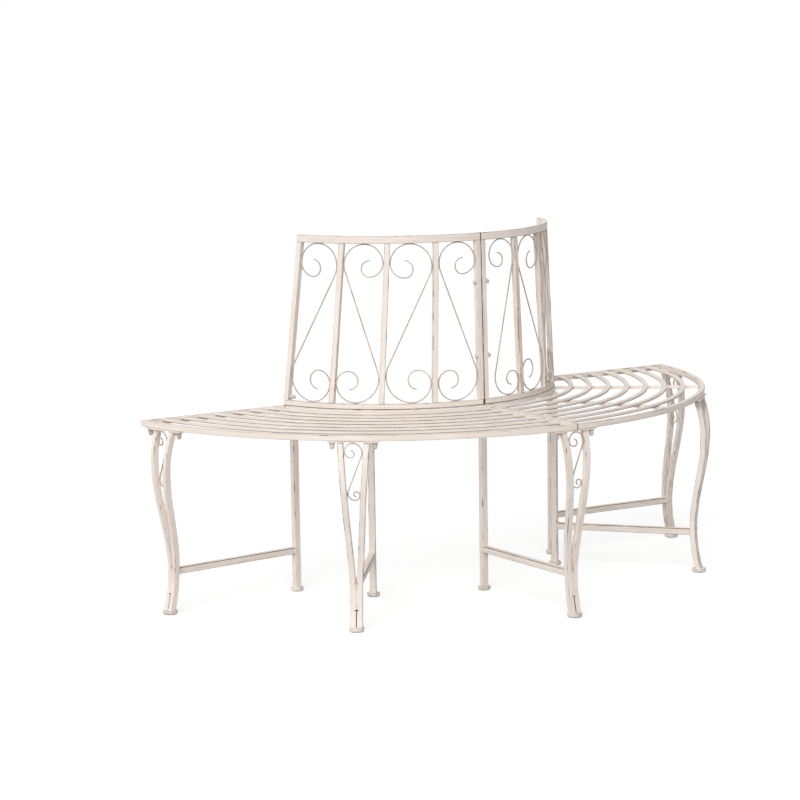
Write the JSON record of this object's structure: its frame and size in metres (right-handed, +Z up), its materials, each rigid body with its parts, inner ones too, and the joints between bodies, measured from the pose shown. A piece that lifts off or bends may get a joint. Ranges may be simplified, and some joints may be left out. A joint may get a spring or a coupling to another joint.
{
  "type": "tree bench",
  "caption": "Half-round metal garden bench for a tree, with curved slatted seat, low fanned back with scrollwork, cabriole legs and straight inner legs joined by stretchers.",
  "frame": {"origin": "on the ground, below the middle of the bench's bounding box", "axes": "+Z up, +X along the straight back edge towards the sitter's left as seen by someone facing the seat from the front, -Y out of the curved front, +Y towards the tree"},
  "size_m": [1.5936, 0.7069, 0.889],
  "materials": {
    "painted_frame": "satin, distressed cream paint with brown wear along the edges",
    "painted_legs": "satin, distressed cream paint with brown wear along the edges",
    "painted_scrolls": "satin, thin cream paint over brown",
    "painted_feet": "satin, worn cream paint",
    "painted_fasteners": "satin, pale grey-cream paint",
    "dark_spacer": "matt black"
  },
  "bodies": {
    "root": {"back_bottom_rail_left": "painted_frame", "back_bottom_rail_right": "painted_frame", "back_end_post_left": "painted_frame", "back_end_post_right": "painted_frame", "back_joint_post_left": "painted_frame", "back_joint_post_right": "painted_frame", "back_mid_posts_left": "painted_frame", "back_mid_posts_right": "painted_frame", "back_rail_spacer": "dark_spacer", "back_scrolls_left": "painted_scrolls", "back_scrolls_right": "painted_scrolls", "back_top_rail_left": "painted_frame", "back_top_rail_right": "painted_frame", "end_post_bolts": "painted_fasteners", "end_post_nuts": "painted_fasteners", "inner_feet": "painted_feet", "inner_leg_left_end": "painted_legs", "inner_leg_left_mid": "painted_legs", "inner_leg_middle": "painted_legs", "inner_leg_right_end": "painted_legs", "inner_leg_right_mid": "painted_legs", "leg_bars_left_end": "painted_legs", "leg_bars_left_mid": "painted_legs", "leg_bars_middle": "painted_legs", "leg_bars_right_end": "painted_legs", "leg_bars_right_mid": "painted_legs", "leg_plate_left_end": "painted_legs", "leg_plate_left_mid": "painted_legs", "leg_plate_middle": "painted_legs", "leg_plate_right_end": "painted_legs", "leg_plate_right_mid": "painted_legs", "leg_scroll_left_end": "painted_scrolls", "leg_scroll_left_mid": "painted_scrolls", "leg_scroll_middle": "painted_scrolls", "leg_scroll_right_end": "painted_scrolls", "leg_scroll_right_mid": "painted_scrolls", "outer_feet": "painted_feet", "panel_bolts": "painted_fasteners", "panel_nuts": "painted_fasteners", "plate_nuts": "painted_fasteners", "seat_end_bar_left": "painted_frame", "seat_end_bar_right": "painted_frame", "seat_inner_ring_left": "painted_frame", "seat_inner_ring_right": "painted_frame", "seat_joint_bar_left": "painted_frame", "seat_joint_bar_right": "painted_frame", "seat_outer_rim_left": "painted_frame", "seat_outer_rim_right": "painted_frame", "seat_slats_left": "painted_frame", "seat_slats_right": "painted_frame", "seat_support_bars_left": "painted_frame", "seat_support_bars_right": "painted_frame", "stretcher_left_end": "painted_legs", "stretcher_left_mid": "painted_legs", "stretcher_middle": "painted_legs", "stretcher_right_end": "painted_legs", "stretcher_right_mid": "painted_legs"}
  },
  "joints": []
}
